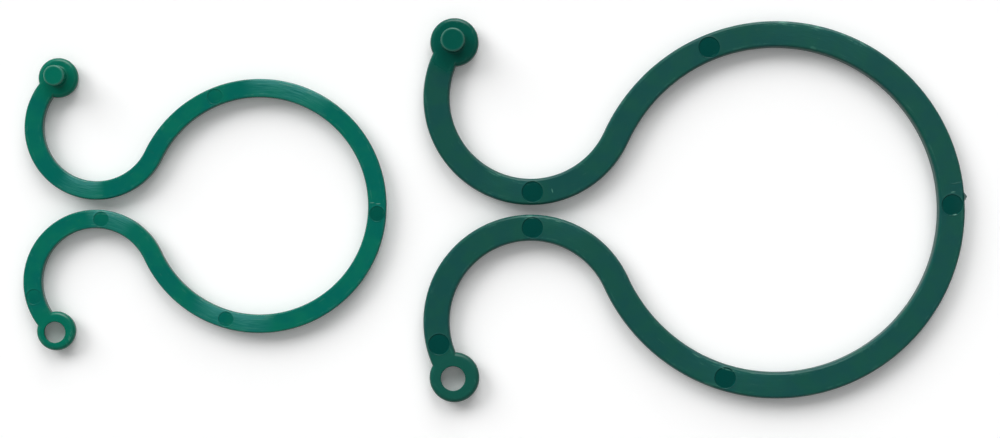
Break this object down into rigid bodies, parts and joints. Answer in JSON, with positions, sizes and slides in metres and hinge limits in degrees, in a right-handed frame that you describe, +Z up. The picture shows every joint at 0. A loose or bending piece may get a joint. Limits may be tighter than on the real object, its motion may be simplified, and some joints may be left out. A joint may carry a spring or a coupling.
{
  "type": "orchid clip",
  "caption": "Moulded plastic twist clips for orchid stems in two sizes: an open loop whose hooked arms cross, and lock with a peg in an eye.",
  "frame": {"origin": "under the middle of the pair's outline, on the surface that both clips lie on", "axes": "+X from the mouths to the backs of the loops, +Y from the eyes to the pegs, +Z up, the way the pegs point"},
  "size_m": [0.1108, 0.045, 0.0042],
  "materials": {
    "dark_green_plastic": "dark green polypropylene, satin, with lighter rims",
    "green_plastic": "mid green polypropylene, satin, with lighter rims"
  },
  "bodies": {
    "large_peg_back": {"large_peg_back": "dark_green_plastic"},
    "large_peg_bow": {"large_peg_bow": "dark_green_plastic"},
    "large_peg_arm": {"large_peg_shoulder": "dark_green_plastic", "large_peg_hook": "dark_green_plastic", "large_peg_pad": "dark_green_plastic", "large_peg_post": "dark_green_plastic"},
    "large_eye_back": {"large_eye_back": "dark_green_plastic"},
    "large_eye_bow": {"large_eye_bow": "dark_green_plastic"},
    "large_eye_arm": {"large_eye_shoulder": "dark_green_plastic", "large_eye_hook": "dark_green_plastic", "large_eye_ring": "dark_green_plastic"},
    "small_peg_back": {"small_peg_back": "green_plastic"},
    "small_peg_bow": {"small_peg_bow": "green_plastic"},
    "small_peg_arm": {"small_peg_shoulder": "green_plastic", "small_peg_hook": "green_plastic", "small_peg_pad": "green_plastic", "small_peg_post": "green_plastic"},
    "small_eye_back": {"small_eye_back": "green_plastic"},
    "small_eye_bow": {"small_eye_bow": "green_plastic"},
    "small_eye_arm": {"small_eye_shoulder": "green_plastic", "small_eye_hook": "green_plastic", "small_eye_ring": "green_plastic"}
  },
  "joints": [
    {"name": "large_spread", "type": "hinge", "parent": "large_peg_back", "child": "large_eye_back", "pos_m": [0.05276, -0.00564, 0.001], "axis": [0, 0, -1], "range_deg": [-14, 0], "stiffness_Nm_per_rad": 0.11},
    {"name": "large_close", "type": "hinge", "parent": "large_peg_back", "child": "large_peg_bow", "pos_m": [0.04826, 0.01382, 0.001], "axis": [0, 0, 1], "range_deg": [0, 14.41], "stiffness_Nm_per_rad": 0.22, "deforming": ["large_peg_hook", "large_eye_shoulder", "large_eye_hook"]},
    {"name": "large_close_peg_arm", "type": "hinge", "parent": "large_peg_bow", "child": "large_peg_arm", "pos_m": [0.03116, 0.02056, 0.001], "axis": [0, 0, 1], "range_deg": [0, 10.82], "stiffness_Nm_per_rad": 0.22},
    {"name": "large_close_eye_bow", "type": "hinge", "parent": "large_eye_back", "child": "large_eye_bow", "pos_m": [0.04826, -0.01375, 0.001], "axis": [-0.1584, 0.402, -0.9018], "range_deg": [0, 16.64], "stiffness_Nm_per_rad": 0.22},
    {"name": "large_close_eye_arm", "type": "hinge", "parent": "large_eye_bow", "child": "large_eye_arm", "pos_m": [0.03116, -0.02048, 0.001], "axis": [0.3302, -0.4914, -0.8059], "range_deg": [0, 12.13], "stiffness_Nm_per_rad": 0.22},
    {"name": "small_spread", "type": "hinge", "parent": "small_peg_back", "child": "small_eye_back", "pos_m": [-0.01439, -0.00343, 0.0009], "axis": [0, 0, -1], "range_deg": [-18, 0], "stiffness_Nm_per_rad": 0.05},
    {"name": "small_close", "type": "hinge", "parent": "small_peg_back", "child": "small_peg_bow", "pos_m": [-0.0173, 0.00966, 0.0009], "axis": [0, 0, 1], "range_deg": [0, 17.05], "stiffness_Nm_per_rad": 0.1, "deforming": ["small_peg_hook", "small_eye_shoulder", "small_eye_hook"]},
    {"name": "small_close_peg_arm", "type": "hinge", "parent": "small_peg_bow", "child": "small_peg_arm", "pos_m": [-0.02874, 0.01427, 0.0009], "axis": [0, 0, 1], "range_deg": [0, 12.8], "stiffness_Nm_per_rad": 0.1},
    {"name": "small_close_eye_bow", "type": "hinge", "parent": "small_eye_back", "child": "small_eye_bow", "pos_m": [-0.01744, -0.00884, 0.0009], "axis": [-0.173, 0.4392, -0.8815], "range_deg": [0, 20.76], "stiffness_Nm_per_rad": 0.1},
    {"name": "small_close_eye_arm", "type": "hinge", "parent": "small_eye_bow", "child": "small_eye_arm", "pos_m": [-0.02896, -0.01328, 0.0009], "axis": [0.3978, -0.5475, -0.7362], "range_deg": [0, 14.41], "stiffness_Nm_per_rad": 0.1},
    {"name": "small_lift_off", "type": "slide", "parent": "large_peg_back", "child": "small_peg_back", "axis": [0, 0, 1], "range_m": [0, 0.03]}
  ],
  "couplings": [
    {"joint": "large_close_peg_arm", "follows": "large_close", "ratio": 0.75},
    {"joint": "large_close_eye_bow", "follows": "large_close", "ratio": 1.1543},
    {"joint": "large_close_eye_arm", "follows": "large_close", "ratio": 0.84133},
    {"joint": "small_close_peg_arm", "follows": "small_close", "ratio": 0.75},
    {"joint": "small_close_eye_bow", "follows": "small_close", "ratio": 1.217},
    {"joint": "small_close_eye_arm", "follows": "small_close", "ratio": 0.84459}
  ]
}
